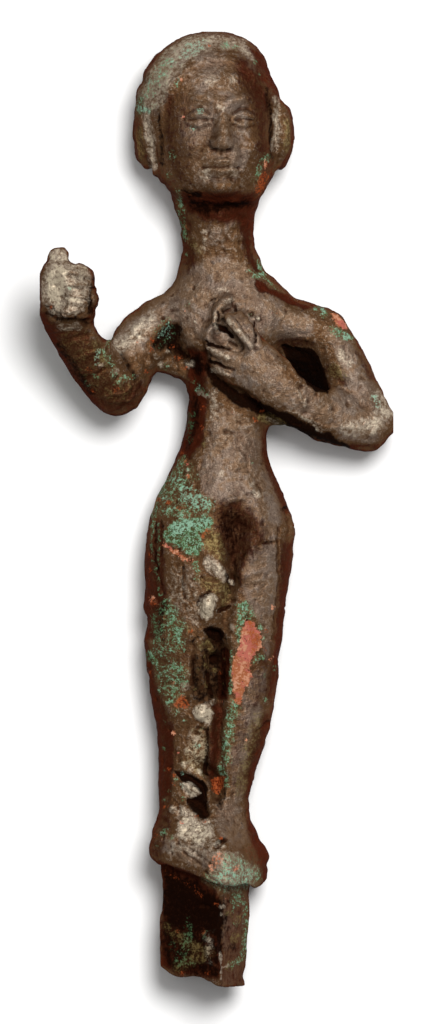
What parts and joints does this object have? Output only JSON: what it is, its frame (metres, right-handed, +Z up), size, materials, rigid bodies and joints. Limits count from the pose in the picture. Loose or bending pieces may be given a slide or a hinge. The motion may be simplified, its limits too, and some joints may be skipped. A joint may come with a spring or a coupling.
{
  "type": "bronze idol",
  "caption": "Small cast-bronze standing figure with one arm folded on the chest and one fist raised, on a skewed plinth with a square tang, lying on its back.",
  "frame": {"origin": "under the middle of the figure's bounding box, on the surface that it lies on", "axes": "+Z up, out of the figure's front; +Y from the tang to the crown of the head; the figure's right arm is on the -X side"},
  "size_m": [0.0554, 0.1502, 0.0239],
  "materials": {
    "bronze": "aged dark brown bronze with green, turquoise and copper-pink corrosion patches"
  },
  "bodies": {
    "root": {"idol": "bronze"}
  },
  "joints": []
}
